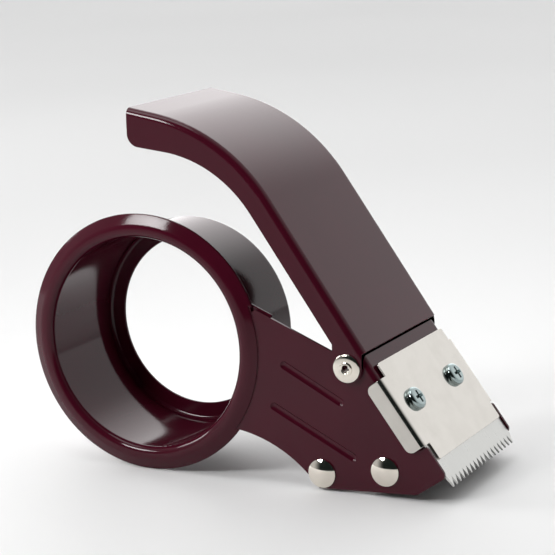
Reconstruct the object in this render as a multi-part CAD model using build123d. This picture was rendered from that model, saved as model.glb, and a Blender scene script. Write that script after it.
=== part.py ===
from build123d import *
import math
import os

# A hand-held packing-tape dispenser in pressed sheet steel, for tape up to 50 mm wide on a 76 mm core.
# Millimetres. x runs from the hub's axis towards the blade, y from the near side plate to the far one,
# and z up from the table. At the end everything moves so that the origin is under the middle of the whole.

# ---- Sheet thicknesses ----
SHEET = 1.0  # hub, frame, handle and joint strap
COVER_SHEET = 0.7
BLADE_SHEET = 0.7

# ---- Hub: a drawn drum that the tape's core slides onto ----
HUB_R = 37.5  # outside of the drum, a loose fit in a 76.2 mm core
HUB_RIM_R = 44.5  # outside of the near flange, which also stands on the table
HUB_DEPTH = 38.0
HUB_MOUTH_R = 30.5  # opening in the far, inward flange
HUB_NEAR_BEND = 2.5  # bend radius, on the bore side
RIM_BAND = 4.2  # width of the near flange's sloping outer band
CROWN_RISE = 1.9  # how far the flange's crown stands out past the near plate
CROWN_BEND = 5.5  # bend radius between band and crown, on the outside
HUB_FAR_BEND = 2.5  # bend radius, on the drum side

# ---- Slope: the line of the front plate, the blade and the cover ----
SLOPE_ANGLE = 54.1  # degrees from level
SLOPE_X = 85.24  # top edge of the blade cover's outer face
SLOPE_Z = 43.86

# ---- Frame: two side plates joined by a front plate ----
FRAME_WIDTH = 58.0
FRAME_BEND = 2.2  # outer bend radius along the front plate
FRONT_TOP_S = -13.0  # places along the slope, down from the cover's top edge
EAR_TOP_S = 31.0
EAR_END_S = 42.6
EAR_H = -0.1  # the ears end flush with the cover's face
EAR_TOP_ROUND = 1.0
EAR_CORNER = 2.0
FRONT_CUT_ANGLE = 34.4  # the side plates' edge between ear and heel, degrees from level
TONGUE_END_S = 38.0
TONGUE_GAP = 2.5  # between a side plate's inner face and the tongue under the blade
TOP_EDGE = ((41.6, 59.7), (70.8, 47.2))  # two points of the near plate's top edge
PLATE_TOE = (64.6, 0.5)  # rear end of the bottom edge
PLATE_HEEL_Z = 1.6  # height of the bottom edge at its front end
LOWER_ARC = ((55.4, 9.3), (33.0, 17.8))  # middle and end of the hollow edge behind the toe
PLATE_CORNER = 1.2
HEEL_CORNER = 4.0
FAR_PLATE_R = 69.5  # the far plate is cut back to this radius, so that a full roll slides past it
SEAM_GAP = 0.3  # filled by the weld between hub flange and near plate
WELD_RISE = 0.12

# ---- Pressed grooves in the near plate ----
GROOVES = (((53.0, 41.2), (73.0, 30.6)), ((48.8, 26.8), (77.2, 12.4)))
GROOVE_WIDTH = 2.8
GROOVE_DEPTH = 0.6

# ---- Joint strap behind the seam ----
STRAP_INSIDE = 1.0  # how far it reaches in behind the hub's flange
STRAP_OUTSIDE = 5.5  # and out behind the near plate
STRAP_RISE = 0.7  # how far it shows above the near plate's top edge

# ---- Handle: a channel hinged on the frame ----
HANDLE_ANGLE = 55.6  # the straight part, degrees from level, from the cover's top edge upwards
HANDLE_PLAY = 0.3  # between a side plate and the handle's flange
HANDLE_BEND = 2.5
HANDLE_END_S = -5.0
HANDLE_STRAIGHT = 58.3
HANDLE_ARC_R = 64.0
HANDLE_TAIL = 10.4
TAIL_ANGLE = 10.0
TAIL_DEPTH = 12.6
TAIL_LOWER_ANGLE = 7.0
FLANGE_DEPTH = 8.1
FLANGE_ARC_R = 45.0
TAIL_CORNER = 4.5

# ---- Handle pivot ----
PIVOT_S = -3.86
PIVOT_H = -8.05
LOBE_R = 5.2
PIVOT_R = 1.9  # tubular rivet's shank
PIVOT_BORE_R = 1.3
PIVOT_HEAD_R = 3.6
PIVOT_HEAD = 0.9
PIVOT_COLLAR_R = 2.35
PIVOT_COLLAR = 0.5
COLLAR_ROUND = 0.4
PIVOT_HEAD_ROUND = 0.6
PIVOT_WASHER_R = 4.7
PIVOT_WASHER = 0.8
PIVOT_WASHER_RIM = 0.45
PIVOT_PLAY = 0.1  # between handle and washer

# ---- Press roller and guide roller ----
PRESS_X = 88.65
PRESS_R = 8.8
PRESS_CORE_R = 6.0
PRESS_LENGTH = 46.6
SLEEVE_SETBACK = 0.5
GUIDE_X = 65.9
GUIDE_Z = 5.7
GUIDE_R = 4.6
GUIDE_GROOVE_R = 3.9
GUIDE_RIBS = 11
GUIDE_RIB_WIDTH = 1.6
GUIDE_LENGTH = 50.0
AXLE_R = 2.5
AXLE_HEAD_R = 4.85
AXLE_HEAD = 1.8
AXLE_TAIL_R = 4.2  # the end that is peened over, on the far side
AXLE_TAIL = 1.4
HEAD_RIM = 0.5
PRESS_SPACER_R = 4.2
GUIDE_SPACER_R = 3.9
RUNNING = 0.05  # radial play of a roller on its axle
END_PLAY = 0.2

# ---- Blade and cover ----
COVER_LENGTH = 36.6
COVER_INSET_NEAR = 3.1  # narrow ends of the cover, in from the frame's faces
COVER_INSET_FAR = 1.8
COVER_PLAY = 0.4  # between a side plate and the cover's tab
COVER_BEND = 2.0
COVER_CORNER = 1.0
TAB_TOP_S = 4.8
TAB_END_S = 30.4
TAB_DEPTH = 6.7
TAB_CORNER = 2.5
BLADE_TOP_S = 14.0
BLADE_TIP_S = 46.3
BLADE_INSET = 1.3
TOOTH_DEPTH = 3.2
TOOTH_COUNT = 18
TOOTH_LEAN = 0.36  # where a tooth's tip lies between its near root and its far root

# ---- Cover screws ----
SCREW_S = 16.0
SCREW_NEAR_Y = 11.2
SCREW_SPACING = 32.6
SCREW_R = 2.0
SCREW_HOLE_R = 2.2
SCREW_LENGTH = 8.0
SCREW_HEAD_R = 4.0
SCREW_HEAD = 2.1
SCREW_HEAD_ROUND = 1.4
CROSS_WIDTH = 1.0
CROSS_SPAN = 4.4
CROSS_DEPTH = 1.2
LOCK_WASHER = 0.9
LOCK_WASHER_R = 3.4
LOCK_WASHER_SPLIT = 0.8
NUT_ACROSS_FLATS = 7.0
NUT_HEIGHT = 3.2
NUT_CORNER = 0.5
THREAD_PLAY = 0.03

# ---- Working values ----
CLOSE = 0.01  # two lengths that differ by less are the same
OVERCUT = 1.0  # how far a cutting piece runs past what it cuts

# ---- Worked out from the above ----
HUB_CENTRE = (0, HUB_RIM_R)
FRONT_H = -COVER_SHEET - BLADE_SHEET  # outer face of the front plate
PRESS_CENTRE = (PRESS_X, PRESS_R)
GUIDE_CENTRE = (GUIDE_X, GUIDE_Z)
SIN = math.sin(math.radians(SLOPE_ANGLE))
COS = math.cos(math.radians(SLOPE_ANGLE))
HANDLE_SIN = math.sin(math.radians(HANDLE_ANGLE))
HANDLE_COS = math.cos(math.radians(HANDLE_ANGLE))
SLOPE = Plane(origin=(SLOPE_X, 0, SLOPE_Z), x_dir=(COS, 0, -SIN), z_dir=(SIN, 0, COS))
MIDDLE_Y = FRAME_WIDTH / 2
PIVOT_CENTRE = (
    SLOPE_X + PIVOT_S * HANDLE_COS + PIVOT_H * HANDLE_SIN,
    SLOPE_Z - PIVOT_S * HANDLE_SIN + PIVOT_H * HANDLE_COS,
)


def on_slope(s, h):
    """The (x, z) of a point s down the slope and h out from the cover's face."""
    return (SLOPE_X + s * COS + h * SIN, SLOPE_Z - s * SIN + h * COS)


def on_handle(s, h):
    """The same along the handle's straight part, h out from its skin."""
    return (SLOPE_X + s * HANDLE_COS + h * HANDLE_SIN, SLOPE_Z - s * HANDLE_SIN + h * HANDLE_COS)


def slab(outline, y0, y1):
    """An outline drawn in (x, z), as thick as from y0 to y1."""
    return extrude(Plane.XZ.offset(-y1) * outline, amount=y1 - y0)


def slope_box(s0, s1, y0, y1, h0, h1):
    """A box between two places along the slope, two widths and two heights."""
    centre = ((s0 + s1) / 2, (y0 + y1) / 2, (h0 + h1) / 2)
    return SLOPE * Pos(*centre) * Box(s1 - s0, y1 - y0, h1 - h0)


def polygon(points):
    return make_face(Polyline(*points, close=True))


def round_corner(shape, point, radius):
    """A flat outline with the corner nearest to a point rounded."""
    corner = shape.vertices().sort_by_distance((point[0], point[1], 0))[0]
    return fillet(corner, radius)


def meet(p, p_angle, q, q_angle):
    """Where the line through p and the line through q cross; the angles are in degrees."""
    pc, ps = math.cos(math.radians(p_angle)), math.sin(math.radians(p_angle))
    qc, qs = math.cos(math.radians(q_angle)), math.sin(math.radians(q_angle))
    along = ((q[0] - p[0]) * qs - (q[1] - p[1]) * qc) / (pc * qs - ps * qc)
    return (p[0] + along * pc, p[1] + along * ps)


def turned(face, centre):
    """A flat (radius, y) face turned about the axis along y through an (x, z) centre."""
    return Pos(centre[0], 0, centre[1]) * revolve(face, Axis.Y)


def rod(centre, radius, y0, y1):
    return slab(Pos(*centre) * Circle(radius), y0, y1)


def tube(centre, outer, inner, y0, y1):
    return slab(Pos(*centre) * (Circle(outer) - Circle(inner)), y0, y1)


def mirror_far(piece):
    """The same piece on the far side."""
    return mirror(piece, about=Plane.XZ.offset(-MIDDLE_Y))


def slope_round(s, y, radius, h0, h1):
    """A cylinder square to the slope."""
    return SLOPE * Pos(s, y, (h0 + h1) / 2) * Cylinder(radius, h1 - h0)


def round_long_edges(block, radius):
    """A box on the slope with its two outer edges along the slope rounded."""
    along = block.edges().filter_by(Axis((0, 0, 0), tuple(SLOPE.x_dir)))
    return fillet(along.sort_by(Axis((0, 0, 0), tuple(SLOPE.z_dir)))[-2:], radius)


def screw_places():
    return [SCREW_NEAR_Y, SCREW_NEAR_Y + SCREW_SPACING]


# ---------------------------------------------------------------- hub
def seam_radius():
    """Edge of the hub's flange where the near plate is let into it."""
    return HUB_RIM_R - SHEET


def tape_hub():
    """Drum with an outward, crowned near flange and an inward far flange, drawn from one sheet."""
    bore = HUB_R - SHEET
    back = HUB_DEPTH - SHEET
    band_angle = math.atan2(CROWN_RISE, RIM_BAND)
    rim_back = SHEET / math.cos(band_angle)
    crown_outside = (HUB_RIM_R - RIM_BAND, -CROWN_RISE)
    crown_inside = (HUB_RIM_R - (rim_back + CROWN_RISE - SHEET) / math.tan(band_angle), SHEET - CROWN_RISE)
    section = polygon(
        [
            (HUB_RIM_R, 0),
            crown_outside,
            (bore, -CROWN_RISE),
            (bore, back),
            (HUB_MOUTH_R, back),
            (HUB_MOUTH_R, HUB_DEPTH),
            (HUB_R, HUB_DEPTH),
            (HUB_R, SHEET - CROWN_RISE),
            crown_inside,
            (HUB_RIM_R, rim_back),
        ]
    )
    section = round_corner(section, crown_outside, CROWN_BEND)
    section = round_corner(section, crown_inside, CROWN_BEND - SHEET)
    section = round_corner(section, (bore, -CROWN_RISE), HUB_NEAR_BEND)
    section = round_corner(section, (HUB_R, SHEET - CROWN_RISE), HUB_NEAR_BEND - SHEET)
    section = round_corner(section, (bore, back), HUB_FAR_BEND - SHEET)
    section = round_corner(section, (HUB_R, HUB_DEPTH), HUB_FAR_BEND)
    let_in = near_blank() - Pos(*HUB_CENTRE) * Circle(seam_radius())
    return turned(section, HUB_CENTRE) - slab(let_in, -CROWN_RISE, SHEET + OVERCUT)


# ---------------------------------------------------------------- frame
def near_blank():
    """Side plate's outline before the seam is cut, with its front edge at the bend."""
    bend_h = FRONT_H - FRAME_BEND - SHEET / 2
    edge_run = TOP_EDGE[1][0] - TOP_EDGE[0][0]
    edge_angle = math.degrees(math.atan2(TOP_EDGE[1][1] - TOP_EDGE[0][1], edge_run))
    inside = meet(TOP_EDGE[0], edge_angle, LOWER_ARC[1], 90)
    bottom_angle = math.degrees(math.atan2(PLATE_HEEL_Z - PLATE_TOE[1], PRESS_X - PLATE_TOE[0]))
    ear_end = on_slope(EAR_END_S, EAR_H)
    heel = meet(ear_end, FRONT_CUT_ANGLE, PLATE_TOE, bottom_angle)
    corners = [
        LOWER_ARC[1],
        inside,
        TOP_EDGE[1],
        on_handle(FRONT_TOP_S, PIVOT_H + LOBE_R),
        on_slope(FRONT_TOP_S, bend_h),
        on_slope(EAR_TOP_S, bend_h),
        on_slope(EAR_TOP_S, EAR_H),
        ear_end,
        heel,
        PLATE_TOE,
    ]
    hollow = ThreePointArc(PLATE_TOE, LOWER_ARC[0], LOWER_ARC[1])
    blank = make_face([*Polyline(*corners).edges(), hollow])
    blank = round_corner(blank, on_slope(EAR_TOP_S, EAR_H), EAR_TOP_ROUND)
    blank = round_corner(blank, ear_end, EAR_CORNER)
    blank = round_corner(blank, heel, HEEL_CORNER)
    return round_corner(blank, PLATE_TOE, PLATE_CORNER)


def near_outline():
    """Near side plate, cut to an arc that follows the hub's flange."""
    plate = near_blank() - Pos(*HUB_CENTRE) * Circle(seam_radius() + SEAM_GAP)
    return round_corner(plate, TOP_EDGE[0], PLATE_CORNER)


def far_outline():
    """Far side plate, cut back to clear a full roll of tape."""
    return near_blank() - Pos(*HUB_CENTRE) * Circle(FAR_PLATE_R)


def groove(ends, grow):
    """Round-ended bar whose side sinks into the near face, a given amount fatter than the groove."""
    (x0, z0), (x1, z1) = ends
    radius = ((GROOVE_WIDTH / 2) ** 2 + GROOVE_DEPTH**2) / (2 * GROOVE_DEPTH)
    y = GROOVE_DEPTH - radius
    run = Plane(origin=((x0 + x1) / 2, y, (z0 + z1) / 2), z_dir=(x1 - x0, 0, z1 - z0))
    bar = run * Cylinder(radius + grow, math.dist(*ends))
    return bar + Pos(x0, y, z0) * Sphere(radius + grow) + Pos(x1, y, z1) * Sphere(radius + grow)


def front_channel():
    """Front plate with its two long bends and the start of each side plate."""
    depth = FRAME_BEND + SHEET
    outer = slope_box(FRONT_TOP_S, EAR_TOP_S, 0, FRAME_WIDTH, FRONT_H - depth, FRONT_H)
    y0 = SHEET
    y1 = FRAME_WIDTH - SHEET
    s0 = FRONT_TOP_S - OVERCUT
    s1 = EAR_TOP_S + OVERCUT
    inner = slope_box(s0, s1, y0, y1, FRONT_H - depth - OVERCUT, FRONT_H - SHEET)
    return round_long_edges(outer, FRAME_BEND) - round_long_edges(inner, FRAME_BEND - SHEET)


def main_frame():
    """Side plates and front plate, bent from one sheet."""
    near = slab(near_outline(), 0, SHEET)
    behind = slab(near_outline(), SHEET / 2, SHEET + GROOVE_DEPTH + OVERCUT)
    for ends in GROOVES:
        near += groove(ends, SHEET) & behind
        near -= groove(ends, 0)
    far = slab(far_outline(), FRAME_WIDTH - SHEET, FRAME_WIDTH)
    edge = SHEET + TONGUE_GAP
    tongue = slope_box(EAR_TOP_S - OVERCUT, TONGUE_END_S, edge, FRAME_WIDTH - edge, FRONT_H - SHEET, FRONT_H)
    body = near + far + front_channel() + tongue
    for centre, radius in ((PIVOT_CENTRE, PIVOT_R), (PRESS_CENTRE, AXLE_R), (GUIDE_CENTRE, AXLE_R)):
        body -= rod(centre, radius, -OVERCUT, FRAME_WIDTH + OVERCUT)
    for y in screw_places():
        body -= slope_round(SCREW_S, y, SCREW_HOLE_R, FRONT_H - SHEET - OVERCUT, FRONT_H + OVERCUT)
    return body


def joint_strap():
    """Crescent strap behind the seam, which carries the load between hub flange and near plate."""
    ring = Pos(*HUB_CENTRE) * (Circle(HUB_RIM_R + STRAP_OUTSIDE) - Circle(HUB_RIM_R - STRAP_INSIDE))
    strap = slab(ring & (Pos(0, STRAP_RISE) * near_blank()), SHEET, 2 * SHEET)
    for ends in GROOVES:
        strap -= groove(ends, SHEET)
    return strap


def seam_weld():
    """Weld bead that fills the seam, a little proud of the outer face."""
    ring = Pos(*HUB_CENTRE) * (Circle(seam_radius() + SEAM_GAP) - Circle(seam_radius()))
    return slab(ring & near_blank(), -WELD_RISE, SHEET)


# ---------------------------------------------------------------- handle
def handle_tail():
    """Where the straight part's line meets the tail's line, and the tail's upper end."""
    tangent = HANDLE_ARC_R * math.tan(math.radians((HANDLE_ANGLE - TAIL_ANGLE) / 2))
    bend = on_handle(HANDLE_END_S - HANDLE_STRAIGHT - tangent, 0)
    run = tangent + HANDLE_TAIL
    angle = math.radians(TAIL_ANGLE)
    return bend, (bend[0] - run * math.cos(angle), bend[1] + run * math.sin(angle))


def under_skin(depth):
    """Everything below the handle's skin, a given depth in from its outer face."""
    bend, tail = handle_tail()
    down = math.radians(TAIL_ANGLE)
    low_tail = (tail[0] - depth * math.sin(down), tail[1] - depth * math.cos(down))
    corner = meet(on_handle(0, -depth), -HANDLE_ANGLE, low_tail, -TAIL_ANGLE)
    past_tail = (corner[0] - 2 * HANDLE_ARC_R, corner[1] + 2 * HANDLE_ARC_R * math.tan(down))
    past_end = on_handle(HANDLE_ARC_R, -depth)
    region = polygon([past_end, corner, past_tail, (past_tail[0], past_end[1])])
    return round_corner(region, corner, HANDLE_ARC_R - depth)


def handle_trim():
    """The handle's side view, left open above its skin."""
    bend, tail = handle_tail()
    above = HANDLE_ARC_R / 2
    tail_low = (tail[0], tail[1] - TAIL_DEPTH)
    lower = meet(tail_low, -TAIL_LOWER_ANGLE, on_handle(0, -FLANGE_DEPTH), -HANDLE_ANGLE)
    lobe_left = (PIVOT_CENTRE[0] - LOBE_R, PIVOT_CENTRE[1])
    lobe_right = (PIVOT_CENTRE[0] + LOBE_R, PIVOT_CENTRE[1])
    above_lobe = meet(lobe_left, 90, on_handle(0, -FLANGE_DEPTH), -HANDLE_ANGLE)
    end = on_handle(HANDLE_END_S, 0)
    front_edge = meet(lobe_right, 90, end, 90 - HANDLE_ANGLE)
    face = polygon(
        [
            on_handle(HANDLE_END_S, above),
            (bend[0] + above, bend[1] + above),
            (tail[0], tail[1] + above),
            tail_low,
            lower,
            above_lobe,
            lobe_left,
            lobe_right,
            front_edge,
        ]
    )
    face = round_corner(face, tail_low, TAIL_CORNER)
    face = round_corner(face, lower, FLANGE_ARC_R)
    return face + Pos(*PIVOT_CENTRE) * Circle(LOBE_R)


def skin_block(depth, y0, y1, radius):
    """The space under the skin between two widths, its two upper edges rounded."""
    block = slab(under_skin(depth), y0, y1)
    ends = block.faces().filter_by(Axis.Y).edges()
    return fillet(ends.filter_by(lambda e: on_skin(e, depth)), radius)


def on_skin(edge, depth):
    """Whether an edge follows the skin: its straight part, its arc or its tail."""
    bend, tail = handle_tail()
    middle = edge @ 0.5
    away = (middle.X - SLOPE_X) * HANDLE_SIN + (middle.Z - SLOPE_Z) * HANDLE_COS
    up = (middle.X - tail[0]) * math.sin(math.radians(TAIL_ANGLE))
    up += (middle.Z - tail[1]) * math.cos(math.radians(TAIL_ANGLE))
    on_straight = abs(away + depth) < CLOSE
    on_tail = abs(up + depth) < CLOSE
    return on_straight or on_tail or edge.geom_type == GeomType.CIRCLE


def handle():
    """Channel pressed from sheet, open underneath, hinged at its two lobes."""
    y0 = -HANDLE_PLAY - SHEET
    y1 = FRAME_WIDTH + HANDLE_PLAY + SHEET
    shell = skin_block(0, y0, y1, HANDLE_BEND)
    shell -= skin_block(SHEET, y0 + SHEET, y1 - SHEET, HANDLE_BEND - SHEET)
    shell &= slab(handle_trim(), y0, y1)
    return shell - rod(PIVOT_CENTRE, PIVOT_R + RUNNING, y0 - OVERCUT, y1 + OVERCUT)


def pivot_rivet():
    """Tubular rivet through the near lobe, its head inside the frame and its end rolled outside."""
    washer_face = -HANDLE_PLAY - SHEET - PIVOT_PLAY - PIVOT_WASHER
    section = polygon(
        [
            (PIVOT_BORE_R, washer_face - PIVOT_COLLAR),
            (PIVOT_COLLAR_R, washer_face - PIVOT_COLLAR),
            (PIVOT_COLLAR_R, washer_face),
            (PIVOT_R, washer_face),
            (PIVOT_R, SHEET),
            (PIVOT_HEAD_R, SHEET),
            (PIVOT_HEAD_R, SHEET + PIVOT_HEAD),
            (PIVOT_BORE_R, SHEET + PIVOT_HEAD),
        ]
    )
    section = round_corner(section, (PIVOT_COLLAR_R, washer_face - PIVOT_COLLAR), COLLAR_ROUND)
    section = round_corner(section, (PIVOT_BORE_R, washer_face - PIVOT_COLLAR), COLLAR_ROUND)
    section = round_corner(section, (PIVOT_HEAD_R, SHEET + PIVOT_HEAD), PIVOT_HEAD_ROUND)
    return turned(section, PIVOT_CENTRE)


def pivot_washer():
    """Slightly domed washer under the rivet's rolled end."""
    inner = -HANDLE_PLAY - SHEET - PIVOT_PLAY
    crest = inner - PIVOT_WASHER
    rim = inner - PIVOT_WASHER_RIM
    middle_r = (PIVOT_COLLAR_R + PIVOT_WASHER_R) / 2
    bulge = (crest + rim) / 2 - (rim - crest) / 4
    outline = [
        Line((PIVOT_R, inner), (PIVOT_WASHER_R, inner)),
        Line((PIVOT_WASHER_R, inner), (PIVOT_WASHER_R, rim)),
        ThreePointArc((PIVOT_WASHER_R, rim), (middle_r, bulge), (PIVOT_COLLAR_R, crest)),
        Line((PIVOT_COLLAR_R, crest), (PIVOT_R, crest)),
        Line((PIVOT_R, crest), (PIVOT_R, inner)),
    ]
    return turned(make_face(outline), PIVOT_CENTRE)


# ---------------------------------------------------------------- rollers
def dome(centre, radius, height):
    """Domed rivet head on the near side plate, standing out towards -y."""
    outline = [
        Line((0, 0), (radius, 0)),
        Line((radius, 0), (radius, -HEAD_RIM)),
        ThreePointArc((radius, -HEAD_RIM), cap_point(radius, height), (0, -height)),
        Line((0, -height), (0, 0)),
    ]
    return turned(make_face(outline), centre)


def cap_point(radius, height):
    """A point half way out on the spherical cap above a head's rim."""
    cap = height - HEAD_RIM
    ball = (radius**2 + cap**2) / (2 * cap)
    return (radius / 2, -HEAD_RIM - cap + ball - math.sqrt(ball**2 - (radius / 2) ** 2))


def axle(centre):
    """Solid rivet right across the frame: a domed head near, a peened end far."""
    shank = rod(centre, AXLE_R, 0, FRAME_WIDTH)
    return shank + dome(centre, AXLE_HEAD_R, AXLE_HEAD) + mirror_far(dome(centre, AXLE_TAIL_R, AXLE_TAIL))


def spacer(centre, radius, roller_length):
    """Sleeve on the axle that keeps a roller off the near side plate."""
    reach = (FRAME_WIDTH - roller_length) / 2 - END_PLAY
    return tube(centre, radius, AXLE_R, SHEET, reach)


def press_roller_core():
    """Tube that turns on the front axle."""
    end = (FRAME_WIDTH - PRESS_LENGTH) / 2
    return tube(PRESS_CENTRE, PRESS_CORE_R, AXLE_R + RUNNING, end, FRAME_WIDTH - end)


def press_roller_sleeve():
    """Rubber sleeve that presses the tape down."""
    end = (FRAME_WIDTH - PRESS_LENGTH) / 2 + SLEEVE_SETBACK
    sleeve = tube(PRESS_CENTRE, PRESS_R, PRESS_CORE_R, end, FRAME_WIDTH - end)
    rims = sleeve.edges().filter_by(GeomType.CIRCLE).sort_by(lambda e: e.radius)[-2:]
    return fillet(rims, SLEEVE_SETBACK)


def guide_roller():
    """Ribbed roller: only the narrow ribs touch the sticky side of the tape."""
    end = (FRAME_WIDTH - GUIDE_LENGTH) / 2
    roller = tube(GUIDE_CENTRE, GUIDE_GROOVE_R, AXLE_R + RUNNING, end, FRAME_WIDTH - end)
    step = (GUIDE_LENGTH - GUIDE_RIB_WIDTH) / (GUIDE_RIBS - 1)
    for i in range(GUIDE_RIBS):
        y = end + i * step
        roller += tube(GUIDE_CENTRE, GUIDE_R, AXLE_R + RUNNING, y, y + GUIDE_RIB_WIDTH)
    return roller


# ---------------------------------------------------------------- blade and cover
def blade():
    """Flat blade with a row of teeth along its lower edge."""
    y0 = BLADE_INSET
    pitch = (FRAME_WIDTH - 2 * BLADE_INSET) / TOOTH_COUNT
    root_s = BLADE_TIP_S - TOOTH_DEPTH
    points = [(BLADE_TOP_S, FRAME_WIDTH - y0), (BLADE_TOP_S, y0), (root_s, y0)]
    for i in range(TOOTH_COUNT):
        points += [(BLADE_TIP_S, y0 + (i + TOOTH_LEAN) * pitch), (root_s, y0 + (i + 1) * pitch)]
    plate = extrude(SLOPE.offset(FRONT_H) * polygon(points), amount=BLADE_SHEET)
    for y in screw_places():
        plate -= slope_round(SCREW_S, y, SCREW_HOLE_R, FRONT_H - OVERCUT, OVERCUT)
    return plate


def blade_cover():
    """Plated clamp plate over the blade, with a tab bent down over each side plate."""
    out = COVER_PLAY + COVER_SHEET
    outer = slope_box(TAB_TOP_S, TAB_END_S, -out, FRAME_WIDTH + out, -TAB_DEPTH, 0)
    y0 = -COVER_PLAY
    y1 = FRAME_WIDTH + COVER_PLAY
    s0 = TAB_TOP_S - OVERCUT
    s1 = TAB_END_S + OVERCUT
    inner = slope_box(s0, s1, y0, y1, -TAB_DEPTH - OVERCUT, -COVER_SHEET)
    tabs = round_long_edges(outer, COVER_BEND) - round_long_edges(inner, COVER_BEND - COVER_SHEET)
    ends = tabs.edges().filter_by(Axis.Y).sort_by(Axis((0, 0, 0), tuple(SLOPE.z_dir)))[:4]
    tabs = fillet(ends, TAB_CORNER)
    far_end = FRAME_WIDTH - COVER_INSET_FAR
    plate = slope_box(0, COVER_LENGTH, COVER_INSET_NEAR, far_end, -COVER_SHEET, 0)
    square = plate.edges().filter_by(Axis((0, 0, 0), tuple(SLOPE.z_dir)))
    cover = tabs + fillet(square, COVER_CORNER)
    for y in screw_places():
        cover -= slope_round(SCREW_S, y, SCREW_HOLE_R, FRONT_H, OVERCUT)
    return cover


def cover_screw(y):
    """Pan-head machine screw with a cross recess."""
    head = slope_round(SCREW_S, y, SCREW_HEAD_R, 0, SCREW_HEAD)
    head = fillet(head.edges().sort_by(Axis((0, 0, 0), tuple(SLOPE.z_dir)))[-1], SCREW_HEAD_ROUND)
    half = CROSS_SPAN / 2
    arm = CROSS_WIDTH / 2
    deep = SCREW_HEAD - CROSS_DEPTH
    top = SCREW_HEAD + OVERCUT
    head -= slope_box(SCREW_S - half, SCREW_S + half, y - arm, y + arm, deep, top)
    head -= slope_box(SCREW_S - arm, SCREW_S + arm, y - half, y + half, deep, top)
    return head + slope_round(SCREW_S, y, SCREW_R, -SCREW_LENGTH, 0)


def lock_washer(y):
    """Split washer behind the front plate."""
    top = FRONT_H - SHEET
    ring = slope_round(SCREW_S, y, LOCK_WASHER_R, top - LOCK_WASHER, top)
    low = top - LOCK_WASHER - OVERCUT
    ring -= slope_round(SCREW_S, y, SCREW_HOLE_R, low, top + OVERCUT)
    half = LOCK_WASHER_SPLIT / 2
    split_end = SCREW_S + LOCK_WASHER_R + OVERCUT
    return ring - slope_box(SCREW_S, split_end, y - half, y + half, low, top + OVERCUT)


def cover_nut(y):
    """Hexagon nut with chamfered corners."""
    top = FRONT_H - SHEET - LOCK_WASHER
    across_corners = NUT_ACROSS_FLATS / math.cos(math.pi / 6) / 2
    place = SLOPE * Pos(SCREW_S, y, top - NUT_HEIGHT)
    nut = extrude(place * RegularPolygon(across_corners, 6), amount=NUT_HEIGHT)
    disc = slope_round(SCREW_S, y, across_corners, top - NUT_HEIGHT, top)
    nut &= chamfer(disc.edges().filter_by(GeomType.CIRCLE), NUT_CORNER)
    bore_end = top - NUT_HEIGHT - OVERCUT
    return nut - slope_round(SCREW_S, y, SCREW_R + THREAD_PLAY, bore_end, top + OVERCUT)


def both_screws(make):
    """One copy of a fastener at each screw place."""
    return Compound([piece for y in screw_places() for piece in make(y).solids()])


# ---------------------------------------------------------------- the whole
NODES = {
    "main_frame": main_frame(),
    "tape_hub": tape_hub(),
    "joint_strap": joint_strap(),
    "seam_weld": seam_weld(),
    "handle": handle(),
    "pivot_rivet_near": pivot_rivet(),
    "pivot_rivet_far": mirror_far(pivot_rivet()),
    "pivot_washer_near": pivot_washer(),
    "pivot_washer_far": mirror_far(pivot_washer()),
    "press_roller_core": press_roller_core(),
    "press_roller_sleeve": press_roller_sleeve(),
    "press_axle": axle(PRESS_CENTRE),
    "press_spacer_near": spacer(PRESS_CENTRE, PRESS_SPACER_R, PRESS_LENGTH),
    "press_spacer_far": mirror_far(spacer(PRESS_CENTRE, PRESS_SPACER_R, PRESS_LENGTH)),
    "guide_roller": guide_roller(),
    "guide_axle": axle(GUIDE_CENTRE),
    "guide_spacer_near": spacer(GUIDE_CENTRE, GUIDE_SPACER_R, GUIDE_LENGTH),
    "guide_spacer_far": mirror_far(spacer(GUIDE_CENTRE, GUIDE_SPACER_R, GUIDE_LENGTH)),
    "blade": blade(),
    "blade_cover": blade_cover(),
    "cover_screws": both_screws(cover_screw),
    "lock_washers": both_screws(lock_washer),
    "cover_nuts": both_screws(cover_nut),
}

whole = Compound([solid for node in NODES.values() for solid in node.solids()]).bounding_box()
origin = Pos(-(whole.min.X + whole.max.X) / 2, -(whole.min.Y + whole.max.Y) / 2, -whole.min.Z)
os.makedirs("parts", exist_ok=True)
for name, node in NODES.items():
    placed = Compound([origin * solid for solid in node.solids()])
    export_step(placed, f"parts/{name}.step")
print("hub axis at", origin.position + Vector(HUB_CENTRE[0], 0, HUB_CENTRE[1]))
print("handle pivot at", origin.position + Vector(PIVOT_CENTRE[0], 0, PIVOT_CENTRE[1]))
print("press roller axis at", origin.position + Vector(PRESS_CENTRE[0], 0, PRESS_CENTRE[1]))
print("guide roller axis at", origin.position + Vector(GUIDE_CENTRE[0], 0, GUIDE_CENTRE[1]))
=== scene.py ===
# %% [markdown]
# A hand-held dispenser for packing tape: a steel drum that the roll turns on, a folded frame, a hinged
# handle and a toothed blade under a plated cover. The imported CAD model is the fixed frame. It gives the
# places and the outer sizes. This lesson adds the finish: rounded edges, turned rivets, paint and plating.

import math

import bmesh
import bpy
from mathutils import Matrix, Vector


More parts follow.
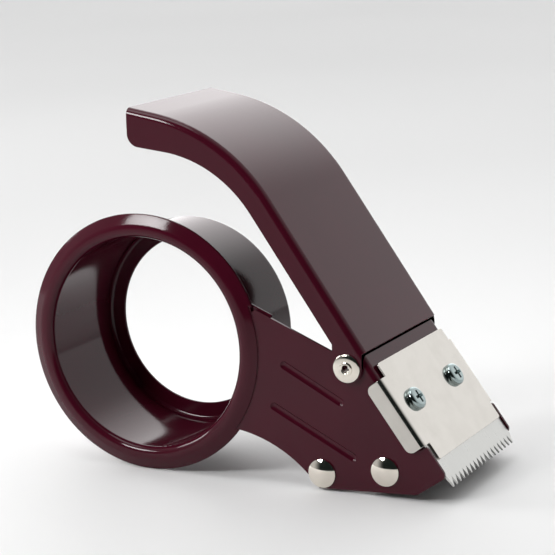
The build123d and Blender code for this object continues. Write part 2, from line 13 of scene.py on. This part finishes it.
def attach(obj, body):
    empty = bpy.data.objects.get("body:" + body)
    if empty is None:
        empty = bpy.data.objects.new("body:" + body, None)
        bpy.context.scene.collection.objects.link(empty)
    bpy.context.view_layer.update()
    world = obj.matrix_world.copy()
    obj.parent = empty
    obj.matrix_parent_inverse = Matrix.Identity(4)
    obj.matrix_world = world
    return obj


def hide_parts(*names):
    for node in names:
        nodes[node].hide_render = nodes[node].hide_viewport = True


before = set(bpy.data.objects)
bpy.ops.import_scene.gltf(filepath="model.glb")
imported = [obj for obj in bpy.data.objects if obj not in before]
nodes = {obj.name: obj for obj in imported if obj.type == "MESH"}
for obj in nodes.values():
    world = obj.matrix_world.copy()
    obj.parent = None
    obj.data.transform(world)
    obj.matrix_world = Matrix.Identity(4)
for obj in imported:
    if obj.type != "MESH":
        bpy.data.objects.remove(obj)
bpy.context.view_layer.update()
MM = 0.001

# %% [markdown]
# The camera stands low, in front and a little to the right, as for a catalogue picture. A long lens keeps the
# drum round. Its place is measured from the middle of the dispenser, which is the origin of the frame.

# %% Camera
CAMERA_PLACE = Vector((316.75, -600.8, 205.5)) * MM
CAMERA_RIGHT = Vector((0.88899, 0.45678, -0.03253))
CAMERA_UP = Vector((-0.06528, 0.19670, 0.97831))
CAMERA_BACK = Vector((0.45326, -0.86757, 0.20468))
CAMERA_LENS = 131.28  # mm on a 36 mm sensor

camera_data = bpy.data.cameras.new("camera")
camera_data.sensor_width = 36
camera_data.lens = CAMERA_LENS
camera_data.clip_start = 0.05
camera_data.clip_end = 20
camera = bpy.data.objects.new("camera", camera_data)
bpy.context.scene.collection.objects.link(camera)
turn = Matrix((CAMERA_RIGHT, CAMERA_UP, CAMERA_BACK)).transposed()
camera.matrix_world = Matrix.Translation(CAMERA_PLACE) @ turn.to_4x4()
bpy.context.scene.camera = camera
print("camera at", [round(v, 4) for v in CAMERA_PLACE])

# %% [markdown]
# Sprayed enamel is never quite flat: it dries with a faint orange peel, a few dust nibs sit in it, and the
# edges that rub show thinner paint. More than one finish on this tool needs the same faint waviness, so it is
# a node group with its own inputs. It could be a displacement, but the waves are far smaller than a face.

# %% Node helpers
def new_group(name, inputs, outputs):
    """An empty node group with the given float inputs and typed outputs."""
    group = bpy.data.node_groups.new(name, "ShaderNodeTree")
    for label, value in inputs:
        socket = group.interface.new_socket(label, in_out="INPUT", socket_type="NodeSocketFloat")
        socket.default_value = value
    for label, kind in outputs:
        group.interface.new_socket(label, in_out="OUTPUT", socket_type=kind)
    start = group.nodes.new("NodeGroupInput")
    end = group.nodes.new("NodeGroupOutput")
    return group, start, end


def add_node(tree, kind, links=None, **values):
    """A node with its settings, and links from other sockets into its inputs."""
    node = tree.nodes.new(kind)
    for key, value in values.items():
        setattr(node, key, value)
    for label, source in (links or {}).items():
        if isinstance(source, (int, float, tuple)):
            node.inputs[label].default_value = source
        else:
            tree.links.new(source, node.inputs[label])
    return node


def maths(tree, operation, first, second, clamp=False):
    """One Math node on two sockets or numbers."""
    node = add_node(tree, "ShaderNodeMath", {0: first, 1: second}, operation=operation, use_clamp=clamp)
    return node.outputs[0]


def noise(tree, place, scale, detail):
    """One noise value at a place."""
    links = {"Vector": place, "Scale": scale, "Detail": detail}
    return add_node(tree, "ShaderNodeTexNoise", links).outputs["Fac"]


def object_place(tree):
    """Where a point is on its own object."""
    return add_node(tree, "ShaderNodeTexCoord").outputs["Object"]


# %% Waviness group
def make_waviness():
    """Orange peel and long waves in a coating, as a height, and a slow patchiness for its roughness."""
    group, start, end = new_group(
        "waviness",
        [("Peel Scale", 900.0), ("Wave Scale", 60.0), ("Wave Share", 0.5)],
        [("Height", "NodeSocketFloat"), ("Patches", "NodeSocketFloat")],
    )
    place = object_place(group)
    peel = noise(group, place, start.outputs["Peel Scale"], 1.0)
    wave = noise(group, place, start.outputs["Wave Scale"], 1.0)
    big = maths(group, "MULTIPLY", wave, start.outputs["Wave Share"])
    group.links.new(maths(group, "ADD", peel, big), end.inputs["Height"])
    group.links.new(wave, end.inputs["Patches"])
    return group


waviness = make_waviness()
print("node group", waviness.name, "with", len(waviness.nodes), "nodes")

# %% [markdown]
# Bright metal that is handled carries hairline scratches and faint smears. Each scratch is a thin line of
# stretched noise, and a second set crosses the first. The group gives one mask of lines and one of smears.

# %% Handling marks group
# One turn and one stretch for each of the two scratch directions.
SCRATCH_SETS = (
    ((0.3, 0.2, 0.5), (2200.0, 60.0, 60.0)),
    ((0.9, -0.4, -0.7), (70.0, 2500.0, 70.0)),
)
SCRATCH_FROM = 0.66  # noise above this is a scratch


def make_handling_marks():
    """Hairline scratches in two directions, and soft smears, as masks from 0 to 1."""
    group, start, end = new_group(
        "handling_marks",
        [("Fineness", 1.0), ("Scratch Amount", 0.5), ("Smear Scale", 90.0)],
        [("Scratches", "NodeSocketFloat"), ("Smears", "NodeSocketFloat")],
    )
    place = object_place(group)
    lines = []
    for turned_by, stretch in SCRATCH_SETS:
        links = {"Vector": place, "Rotation": turned_by, "Scale": stretch}
        mapped = add_node(group, "ShaderNodeMapping", links).outputs[0]
        streaks = noise(group, mapped, start.outputs["Fineness"], 2.0)
        lines.append(maths(group, "GREATER_THAN", streaks, SCRATCH_FROM))
    crossed = maths(group, "ADD", lines[0], lines[1], clamp=True)
    scratches = maths(group, "MULTIPLY", crossed, start.outputs["Scratch Amount"])
    group.links.new(scratches, end.inputs["Scratches"])
    smear = noise(group, place, start.outputs["Smear Scale"], 3.0)
    span = {"Value": smear, "From Min": 0.4, "From Max": 0.65}
    group.links.new(add_node(group, "ShaderNodeMapRange", span).outputs[0], end.inputs["Smears"])
    return group


handling_marks = make_handling_marks()
print("node group", handling_marks.name, "with", len(handling_marks.nodes), "nodes")

# %% [markdown]
# A thin coat wears first where the sheet turns a corner. A bevel shader compares the true normal with one
# averaged over a short reach: where the two differ, there is an edge. A little noise breaks the line up.

# %% Edge wear group
BREAK_SCALE = 700.0
WEAR_GAIN = 6.0  # brings the small difference on a corner up to a full mask


def make_edge_wear():
    """A mask that is 1 on worn edges and 0 elsewhere."""
    group, start, end = new_group(
        "edge_wear",
        [("Reach", 0.0005), ("Amount", 0.5)],
        [("Mask", "NodeSocketFloat")],
    )
    bevel = add_node(group, "ShaderNodeBevel", {"Radius": start.outputs["Reach"]}, samples=4)
    true_normal = add_node(group, "ShaderNodeNewGeometry").outputs["Normal"]
    both = {0: bevel.outputs[0], 1: true_normal}
    alike = add_node(group, "ShaderNodeVectorMath", both, operation="DOT_PRODUCT")
    edge = maths(group, "SUBTRACT", 1.0, alike.outputs["Value"], clamp=True)
    span = {"Value": noise(group, object_place(group), BREAK_SCALE, 3.0), "From Min": 0.45, "From Max": 0.6}
    broken = add_node(group, "ShaderNodeMapRange", span).outputs[0]
    worn = maths(group, "MULTIPLY", maths(group, "MULTIPLY", edge, broken), WEAR_GAIN)
    group.links.new(maths(group, "MULTIPLY", worn, start.outputs["Amount"], clamp=True), end.inputs["Mask"])
    return group


edge_wear = make_edge_wear()
print("node group", edge_wear.name, "with", len(edge_wear.nodes), "nodes")

# %% [markdown]
# The enamel is a dark maroon gloss. Its colour is deep, so nearly all the light that comes off it is the
# clear reflection of the room. A principled shader with plain dielectric gloss does that with one coat.

# %% Material helpers
def new_material(name, **sockets):
    """A material with one principled shader, its constant sockets set directly."""
    material = bpy.data.materials.new(name)
    material.use_nodes = True
    shader = material.node_tree.nodes["Principled BSDF"]
    for label, value in sockets.items():
        shader.inputs[label.replace("_", " ")].default_value = value
    return material, material.node_tree, shader


def place_group(tree, group, **values):
    """A node group in a material, with this material's own values."""
    node = tree.nodes.new("ShaderNodeGroup")
    node.node_tree = group
    for label, value in values.items():
        node.inputs[label.replace("_", " ")].default_value = value
    return node


def mixed_colour(tree, share, first, second):
    """A colour between two, by a mask."""
    node = add_node(tree, "ShaderNodeMix", data_type="RGBA")
    tree.links.new(share, node.inputs["Factor"])
    for label, colour in (("A", first), ("B", second)):
        if isinstance(colour, tuple):
            node.inputs[label].default_value = (*colour, 1.0)
        else:
            tree.links.new(colour, node.inputs[label])
    return node.outputs["Result"]


def ranged(tree, source, low, high):
    """A mask from 0 to 1 stretched to run from low to high."""
    return add_node(tree, "ShaderNodeMapRange", {"Value": source, "To Min": low, "To Max": high}).outputs[0]


def bumped(tree, shader, height, strength, distance):
    """A bump from a height, into the shader's normal."""
    node = add_node(tree, "ShaderNodeBump", {"Height": height, "Strength": strength, "Distance": distance})
    tree.links.new(node.outputs[0], shader.inputs["Normal"])


# %% Maroon enamel
MAROON = (0.058, 0.0035, 0.012)
MAROON_DEEP = (0.044, 0.0035, 0.010)
PRIMER = (0.11, 0.02, 0.028)


def make_enamel():
    """Gloss maroon enamel with orange peel, slow colour drift and thin paint on its edges."""
    material, tree, shader = new_material("maroon_enamel", Metallic=0.0, IOR=1.5, Specular_IOR_Level=0.25)
    surface = place_group(tree, waviness, Peel_Scale=1100.0, Wave_Scale=45.0, Wave_Share=1.2)
    wear = place_group(tree, edge_wear, Reach=0.0004, Amount=0.25)
    drift = mixed_colour(tree, surface.outputs["Patches"], MAROON_DEEP, MAROON)
    tree.links.new(mixed_colour(tree, wear.outputs["Mask"], drift, PRIMER), shader.inputs["Base Color"])
    tree.links.new(ranged(tree, surface.outputs["Patches"], 0.07, 0.12), shader.inputs["Roughness"])
    bumped(tree, shader, surface.outputs["Height"], 0.12, 0.00006)
    return material


enamel = make_enamel()
print("material", enamel.name)

# %% [markdown]
# The blade's cover is nickel plated: warmer than chrome and slightly satin, so the room is a soft blur in it.
# The rivets are the same plate on polished heads, and mirror sharply.

# %% Bright plated metals
def make_plated(name, colour, dull, low, high, bump):
    """Bright plate that smears make slightly duller, with hairline scratches."""
    material, tree, shader = new_material(name, Metallic=1.0)
    marks = place_group(tree, handling_marks, Fineness=1.0, Scratch_Amount=0.5, Smear_Scale=120.0)
    surface = place_group(tree, waviness, Peel_Scale=500.0, Wave_Scale=70.0, Wave_Share=1.0)
    tree.links.new(mixed_colour(tree, marks.outputs["Smears"], colour, dull), shader.inputs["Base Color"])
    rough = ranged(tree, marks.outputs["Smears"], low, high)
    scratched = maths(tree, "MULTIPLY", marks.outputs["Scratches"], high)
    tree.links.new(maths(tree, "ADD", rough, scratched), shader.inputs["Roughness"])
    bumped(tree, shader, surface.outputs["Height"], bump, 0.00004)
    return material


nickel = make_plated("nickel_cover", (0.62, 0.595, 0.555), (0.59, 0.565, 0.525), 0.10, 0.16, 0.08)
rivet_plate = make_plated("rivet_plate", (0.84, 0.78, 0.70), (0.78, 0.73, 0.65), 0.04, 0.09, 0.04)
zinc = make_plated("zinc_screws", (0.36, 0.43, 0.43), (0.27, 0.33, 0.335), 0.09, 0.2, 0.1)
print("plated metals:", nickel.name, rivet_plate.name, zinc.name)

# %% [markdown]
# The blade is ground after it is stamped, so its grain runs one way, down towards the teeth. Noise that is
# stretched a hundred times along the slope gives the grain, in the height and in the roughness alike.

# %% Ground blade steel
SLOPE_FROM_LEVEL = math.radians(54.1)
GRAIN_STRETCH = (50.0, 5200.0, 50.0)


def make_ground_steel():
    """Spring steel with a fine grain along the slope."""
    material, tree, shader = new_material("blade_steel", Metallic=1.0)
    links = {"Vector": object_place(tree), "Rotation": (0.0, -SLOPE_FROM_LEVEL, 0.0), "Scale": GRAIN_STRETCH}
    mapped = add_node(tree, "ShaderNodeMapping", links).outputs[0]
    grain = noise(tree, mapped, 1.0, 3.0)
    marks = place_group(tree, handling_marks, Fineness=1.0, Scratch_Amount=0.6, Smear_Scale=150.0)
    colour = mixed_colour(tree, grain, (0.52, 0.52, 0.505), (0.58, 0.58, 0.56))
    tree.links.new(colour, shader.inputs["Base Color"])
    rough = ranged(tree, grain, 0.24, 0.32)
    smeared = maths(tree, "MULTIPLY", marks.outputs["Smears"], 0.05)
    tree.links.new(maths(tree, "ADD", rough, smeared), shader.inputs["Roughness"])
    bumped(tree, shader, grain, 0.03, 0.00003)
    return material


blade_steel = make_ground_steel()
print("material", blade_steel.name)

# %% [markdown]
# The rollers and their spacers are rubber and moulded plastic. Rubber is ground to size, which leaves a fine
# matt tooth, and moulded plastic has a smooth skin with a slight texture from its tool.

# %% Rubber and plastics
def make_moulded(name, colour, worn, low, high, peel, strength):
    """Rubber or plastic: a fine texture, and paler where dust has settled in."""
    material, tree, shader = new_material(name, Metallic=0.0)
    surface = place_group(tree, waviness, Peel_Scale=peel, Wave_Scale=140.0, Wave_Share=0.4)
    tree.links.new(mixed_colour(tree, surface.outputs["Patches"], colour, worn), shader.inputs["Base Color"])
    tree.links.new(ranged(tree, surface.outputs["Patches"], low, high), shader.inputs["Roughness"])
    bumped(tree, shader, surface.outputs["Height"], strength, 0.0001)
    return material


rubber = make_moulded("roller_rubber", (0.016, 0.016, 0.017), (0.03, 0.03, 0.03), 0.55, 0.75, 2600.0, 0.4)
core_plastic = make_moulded("core_plastic", (0.02, 0.02, 0.02), (0.03, 0.03, 0.03), 0.35, 0.45, 1200.0, 0.2)
GUIDE_BLACK = (0.015, 0.015, 0.016)
guide_plastic = make_moulded("guide_plastic", GUIDE_BLACK, (0.03, 0.03, 0.03), 0.25, 0.4, 1200.0, 0.2)
nylon = make_moulded("spacer_nylon", (0.62, 0.6, 0.54), (0.7, 0.68, 0.62), 0.35, 0.5, 900.0, 0.2)
print("moulded materials:", rubber.name, core_plastic.name, guide_plastic.name, nylon.name)

# %% [markdown]
# Sheet metal is cut and then tumbled or dipped, so no real edge is a knife edge. The CAD solids have the
# outline, thickness and bends. Each sheet piece here starts as a copy of its CAD mesh: the loose triangles
# are joined, flat ones are merged into whole faces, and the sharp edges get a small round of two steps.

# %% Rounded sheet pieces
def finish_piece(name, shape, body, slot, material, *replaced):
    """Makes a shape into a piece that rides on a body and stands for CAD nodes."""
    mesh = bpy.data.meshes.new(name)
    shape.to_mesh(mesh)
    shape.free()
    mesh.materials.append(material)
    piece = bpy.data.objects.new(name, mesh)
    bpy.context.scene.collection.objects.link(piece)
    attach(piece, body)
    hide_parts(*replaced)
    print("piece", name, len(mesh.polygons), "faces")
    return piece


def shade(shape, sharp_from):
    """Smooth shading, with edges sharper than an angle in degrees left as edges."""
    for face in shape.faces:
        face.smooth = True
    for edge in shape.edges:
        edge.smooth = not (edge.is_manifold and edge.calc_face_angle(0.0) > math.radians(sharp_from))


def even_normals(piece):
    """Lets large faces keep their own direction, and small rounds take up the turn."""
    modifier = piece.modifiers.new("even_normals", "WEIGHTED_NORMAL")
    modifier.keep_sharp = True
    modifier.weight = 100
    return piece


MERGE_DISTANCE = 2e-6
FLAT_WITHIN = math.radians(0.2)
SHARP_FROM = math.radians(50)
ROUND_STEPS = 2


def rounded_sheet(node, name, body, slot, material, edge_round):
    """A copy of a sheet CAD node with its cut edges rounded."""
    shape = bmesh.new()
    shape.from_mesh(nodes[node].data)
    bmesh.ops.remove_doubles(shape, verts=shape.verts, dist=MERGE_DISTANCE)
    bmesh.ops.dissolve_limit(
        shape, angle_limit=FLAT_WITHIN, verts=shape.verts, edges=shape.edges, delimit={"NORMAL"}
    )
    sharp = [e for e in shape.edges if e.is_manifold and e.calc_face_angle(0.0) > SHARP_FROM]
    bmesh.ops.bevel(
        shape,
        geom=sharp,
        offset=edge_round,
        offset_type="OFFSET",
        affect="EDGES",
        segments=ROUND_STEPS,
        profile=0.5,
        material=-1,
        clamp_overlap=True,
    )
    shade(shape, 40)
    return even_normals(finish_piece(name, shape, body, slot, material, node))


# The face at the handle's lower end is thinner than these rounds, so its outline crosses itself there.
EDGE_ROUND = 0.28 * MM
BLADE_ROUND = 0.08 * MM
COVER_ROUND = 0.2 * MM
SCREW_ROUND = 0.15 * MM
rounded_sheet("main_frame", "frame_plates", "frame", "maroon_paint", enamel, EDGE_ROUND)
rounded_sheet("tape_hub", "drum", "frame", "maroon_paint", enamel, EDGE_ROUND)
rounded_sheet("joint_strap", "strap", "frame", "maroon_paint", enamel, EDGE_ROUND)
rounded_sheet("handle", "grip_channel", "handle", "maroon_paint", enamel, EDGE_ROUND)
rounded_sheet("blade", "toothed_blade", "frame", "blade_steel", blade_steel, BLADE_ROUND)
rounded_sheet("blade_cover", "clamp_cover", "frame", "nickel_plate", nickel, COVER_ROUND)

# %% [markdown]
# Rivets, washers, spacers and rollers are headed or turned parts, round about one axis. Each is its half
# outline swept once round that axis. The axis comes from the CAD node's own box, and so do the ends and
# radius of the rollers and spacers. Heads, bores and the tubular rivets have sizes of their own here.

# %% Turned pieces
TURN_STEPS = 72
CAP_STEPS = 10
FRAME_FACE = 29.0  # from the middle of the frame to the outside of a side plate, mm
AXLE_R = 2.5
HEAD_RIM = 0.5  # straight part of a head under its cap


def node_box(node):
    """Lowest and highest corner of a CAD node, in mm."""
    places = [nodes[node].matrix_world @ vertex.co / MM for vertex in nodes[node].data.vertices]
    return [Vector([pick(place[i] for place in places) for i in range(3)]) for pick in (min, max)]


def turned_piece(node, body, slot, material, outline, closed=True):
    """A half outline of (radius, place along the axis) points, swept round the node's axis."""
    low, high = node_box(node)
    centre = (low + high) / 2 * MM
    shape = bmesh.new()
    start = [(centre.x + radius * MM, along * MM, centre.z) for radius, along in outline]
    points = [shape.verts.new(place) for place in start]
    if closed:
        points.append(points[0])
    for first, second in zip(points, points[1:]):
        shape.edges.new((first, second))
    bmesh.ops.spin(
        shape,
        geom=shape.verts[:] + shape.edges[:],
        cent=centre,
        axis=(0, 1, 0),
        dvec=(0, 0, 0),
        angle=math.tau,
        steps=TURN_STEPS,
        use_merge=True,
    )
    bmesh.ops.remove_doubles(shape, verts=shape.verts, dist=1e-6)
    bmesh.ops.recalc_face_normals(shape, faces=shape.faces)
    shade(shape, 35)
    return finish_piece(node + "_turned", shape, body, slot, material, node)


def cap_points(radius, rim, crest):
    """Points of a spherical cap, from its crest on the axis out to its rim."""
    rise = abs(crest - rim)
    ball = (radius**2 + rise**2) / (2 * rise)
    towards_crest = math.copysign(1, crest - rim)
    widest = math.asin(radius / ball)
    turns = [widest * i / CAP_STEPS for i in range(CAP_STEPS + 1)]
    return [(ball * math.sin(a), crest - towards_crest * ball * (1 - math.cos(a))) for a in turns]


CORE_EDGE = 0.3
SLEEVE_EDGE = 0.5
SPACER_EDGE = 0.2


def tube_outline(node, bore, edge):
    """Half outline of a tube as long and wide as a CAD node, with its outer edges broken."""
    low, high = node_box(node)
    outer = (high.x - low.x) / 2
    return [
        (bore, low.y),
        (outer - edge, low.y),
        (outer, low.y + edge),
        (outer, high.y - edge),
        (outer - edge, high.y),
        (bore, high.y),
    ]


def flipped(outline):
    """The same outline on the far side of the frame."""
    return [(radius, -along) for radius, along in outline]


# %% Solid rivets across the frame
AXLE_HEAD_R = 4.85
AXLE_TAIL_R = 4.2
for node in ("press_axle", "guide_axle"):
    low, high = node_box(node)
    head = cap_points(AXLE_HEAD_R, -FRAME_FACE - HEAD_RIM, low.y)
    tail = cap_points(AXLE_TAIL_R, FRAME_FACE + HEAD_RIM, high.y)
    near_end = [(AXLE_HEAD_R, -FRAME_FACE), (AXLE_R, -FRAME_FACE)]
    shank = near_end + [(AXLE_R, FRAME_FACE), (AXLE_TAIL_R, FRAME_FACE)]
    turned_piece(node, "frame", "bright_rivet", rivet_plate, head + shank + tail[::-1], closed=False)

# %% Tubular rivets and their washers
RIVET_OUTLINE = [
    (1.3, -27.1),
    (1.3, -31.45),
    (1.42, -31.62),
    (1.62, -31.7),
    (2.0, -31.68),
    (2.24, -31.52),
    (2.35, -31.2),
    (1.9, -31.2),
    (1.9, -28.0),
    (3.6, -28.0),
    (3.6, -27.6),
    (3.4, -27.25),
    (3.0, -27.1),
]
WASHER_OUTLINE = [
    (1.9, -30.4),
    (4.7, -30.4),
    (4.7, -30.76),
    (4.6, -30.87),
    (4.2, -30.99),
    (3.5, -31.11),
    (2.9, -31.17),
    (2.35, -31.2),
    (1.9, -31.2),
]
turned_piece("pivot_rivet_near", "frame", "bright_rivet", rivet_plate, RIVET_OUTLINE)
turned_piece("pivot_rivet_far", "frame", "bright_rivet", rivet_plate, flipped(RIVET_OUTLINE))
turned_piece("pivot_washer_near", "frame", "bright_rivet", rivet_plate, WASHER_OUTLINE)
turned_piece("pivot_washer_far", "frame", "bright_rivet", rivet_plate, flipped(WASHER_OUTLINE))

# %% Rollers and spacers
ROLLER_BORE = AXLE_R + 0.05
CORE_R = 6.0
RIBS = 11
RIB_WIDTH = 1.6
RIB_EDGE = 0.25
GROOVE_R = 3.9
core_outline = tube_outline("press_roller_core", ROLLER_BORE, CORE_EDGE)
turned_piece("press_roller_core", "press_roller", "roller_core", core_plastic, core_outline)
sleeve_outline = tube_outline("press_roller_sleeve", CORE_R, SLEEVE_EDGE)
turned_piece("press_roller_sleeve", "press_roller", "roller_rubber", rubber, sleeve_outline)
for node in ("press_spacer_near", "press_spacer_far", "guide_spacer_near", "guide_spacer_far"):
    turned_piece(node, "frame", "nylon_spacer", nylon, tube_outline(node, AXLE_R, SPACER_EDGE))

low, high = node_box("guide_roller")
rib_r = (high.x - low.x) / 2
rib_step = (high.y - low.y - RIB_WIDTH) / (RIBS - 1)
ribbed = [(ROLLER_BORE, low.y)]
for rib in range(RIBS):
    start = low.y + rib * rib_step
    end = start + RIB_WIDTH
    ribbed += [(GROOVE_R, start), (rib_r - RIB_EDGE, start), (rib_r, start + RIB_EDGE)]
    ribbed += [(rib_r, end - RIB_EDGE), (rib_r - RIB_EDGE, end), (GROOVE_R, end)]
ribbed.append((ROLLER_BORE, high.y))
turned_piece("guide_roller", "guide_roller", "guide_plastic", guide_plastic, ribbed)

# %% Rounded screws and their finish
rounded_sheet("cover_screws", "screws", "frame", "zinc_plate", zinc, SCREW_ROUND)
CARRIED = {"seam_weld": enamel, "lock_washers": zinc, "cover_nuts": zinc}
for node, material in CARRIED.items():
    nodes[node].material_slots[0].material = material
print("finishes on", len(CARRIED), "CAD nodes")

# %% [markdown]
# The tool stands on a pale seamless sheet. The light is a white room that is dark only on the camera's side,
# which is what gives the rivet heads their black upper half and the drum its dark inner wall.

# %% Floor and light
FLOOR_SIZE = 12.0
FLOOR_GREY = (0.75, 0.75, 0.75)
DARK_WALL = (0.25, -0.93, 0.27)
BACK_WINDOW = (-0.36, 0.87, 0.34)


def make_floor():
    """A large pale sheet, exactly under the feet."""
    shape = bmesh.new()
    bmesh.ops.create_grid(shape, x_segments=8, y_segments=8, size=FLOOR_SIZE / 2)
    mesh = bpy.data.meshes.new("floor")
    shape.to_mesh(mesh)
    shape.free()
    material, tree, shader = new_material("floor_paper", Roughness=0.6, IOR=1.3)
    surface = place_group(tree, waviness, Peel_Scale=300.0, Wave_Scale=2.0, Wave_Share=0.1)
    shader.inputs["Base Color"].default_value = (*FLOOR_GREY, 1.0)
    tree.links.new(ranged(tree, surface.outputs["Patches"], 0.5, 0.65), shader.inputs["Roughness"])
    mesh.materials.append(material)
    floor = bpy.data.objects.new("floor", mesh)
    bpy.context.scene.collection.objects.link(floor)
    return floor


def make_room():
    """A white room, brighter behind the tool, with a dark wall behind the camera."""
    world = bpy.data.worlds.new("room")
    bpy.context.scene.world = world
    world.use_nodes = True
    tree = world.node_tree
    background = tree.nodes["Background"]
    direction = add_node(tree, "ShaderNodeTexCoord").outputs["Generated"]

    def towards(aim, first, last):
        """A mask that grows from 0 to 1 as the direction turns towards an aim."""
        along = add_node(tree, "ShaderNodeVectorMath", {0: direction, 1: aim}, operation="DOT_PRODUCT")
        span = {"Value": along.outputs["Value"], "From Min": first, "From Max": last}
        return add_node(tree, "ShaderNodeMapRange", span, interpolation_type="SMOOTHSTEP").outputs[0]

    back = mixed_colour(tree, towards((0.0, 1.0, 0.0), -0.3, 0.7), (0.55, 0.55, 0.55), (1.14, 1.14, 1.14))
    lit = mixed_colour(tree, towards(BACK_WINDOW, 0.78, 0.99), back, (2.3, 2.3, 2.3))
    room = mixed_colour(tree, towards(DARK_WALL, 0.30, 0.80), lit, (0.012, 0.016, 0.015))
    tree.links.new(room, background.inputs["Color"])
    background.inputs["Strength"].default_value = 1.0


def soft_lamp(name, place, aim, size, power, spread=180):
    """A square soft box that faces a point, its beam held to a spread in degrees."""
    data = bpy.data.lights.new(name, "AREA")
    data.shape = "SQUARE"
    data.size = size
    data.energy = power
    data.spread = math.radians(spread)
    lamp = bpy.data.objects.new(name, data)
    bpy.context.scene.collection.objects.link(lamp)
    lamp.location = place
    lamp.rotation_euler = (Vector(aim) - Vector(place)).to_track_quat("-Z", "Y").to_euler()
    return lamp


floor = make_floor()
make_room()
soft_lamp("left_key", (-1.1, -0.2, 0.55), (0, 0, 0.05), 0.4, 5.0)
soft_lamp("overhead", (-0.35, -0.2, 1.5), (-0.05, -0.1, 0.0), 0.7, 4.2)
soft_lamp("upper_left", (-0.34, -0.52, 0.46), (-0.05, 0, 0.10), 0.22, 0.3, 50)
bpy.context.scene.view_settings.view_transform = "Standard"
print("floor and room are in place")
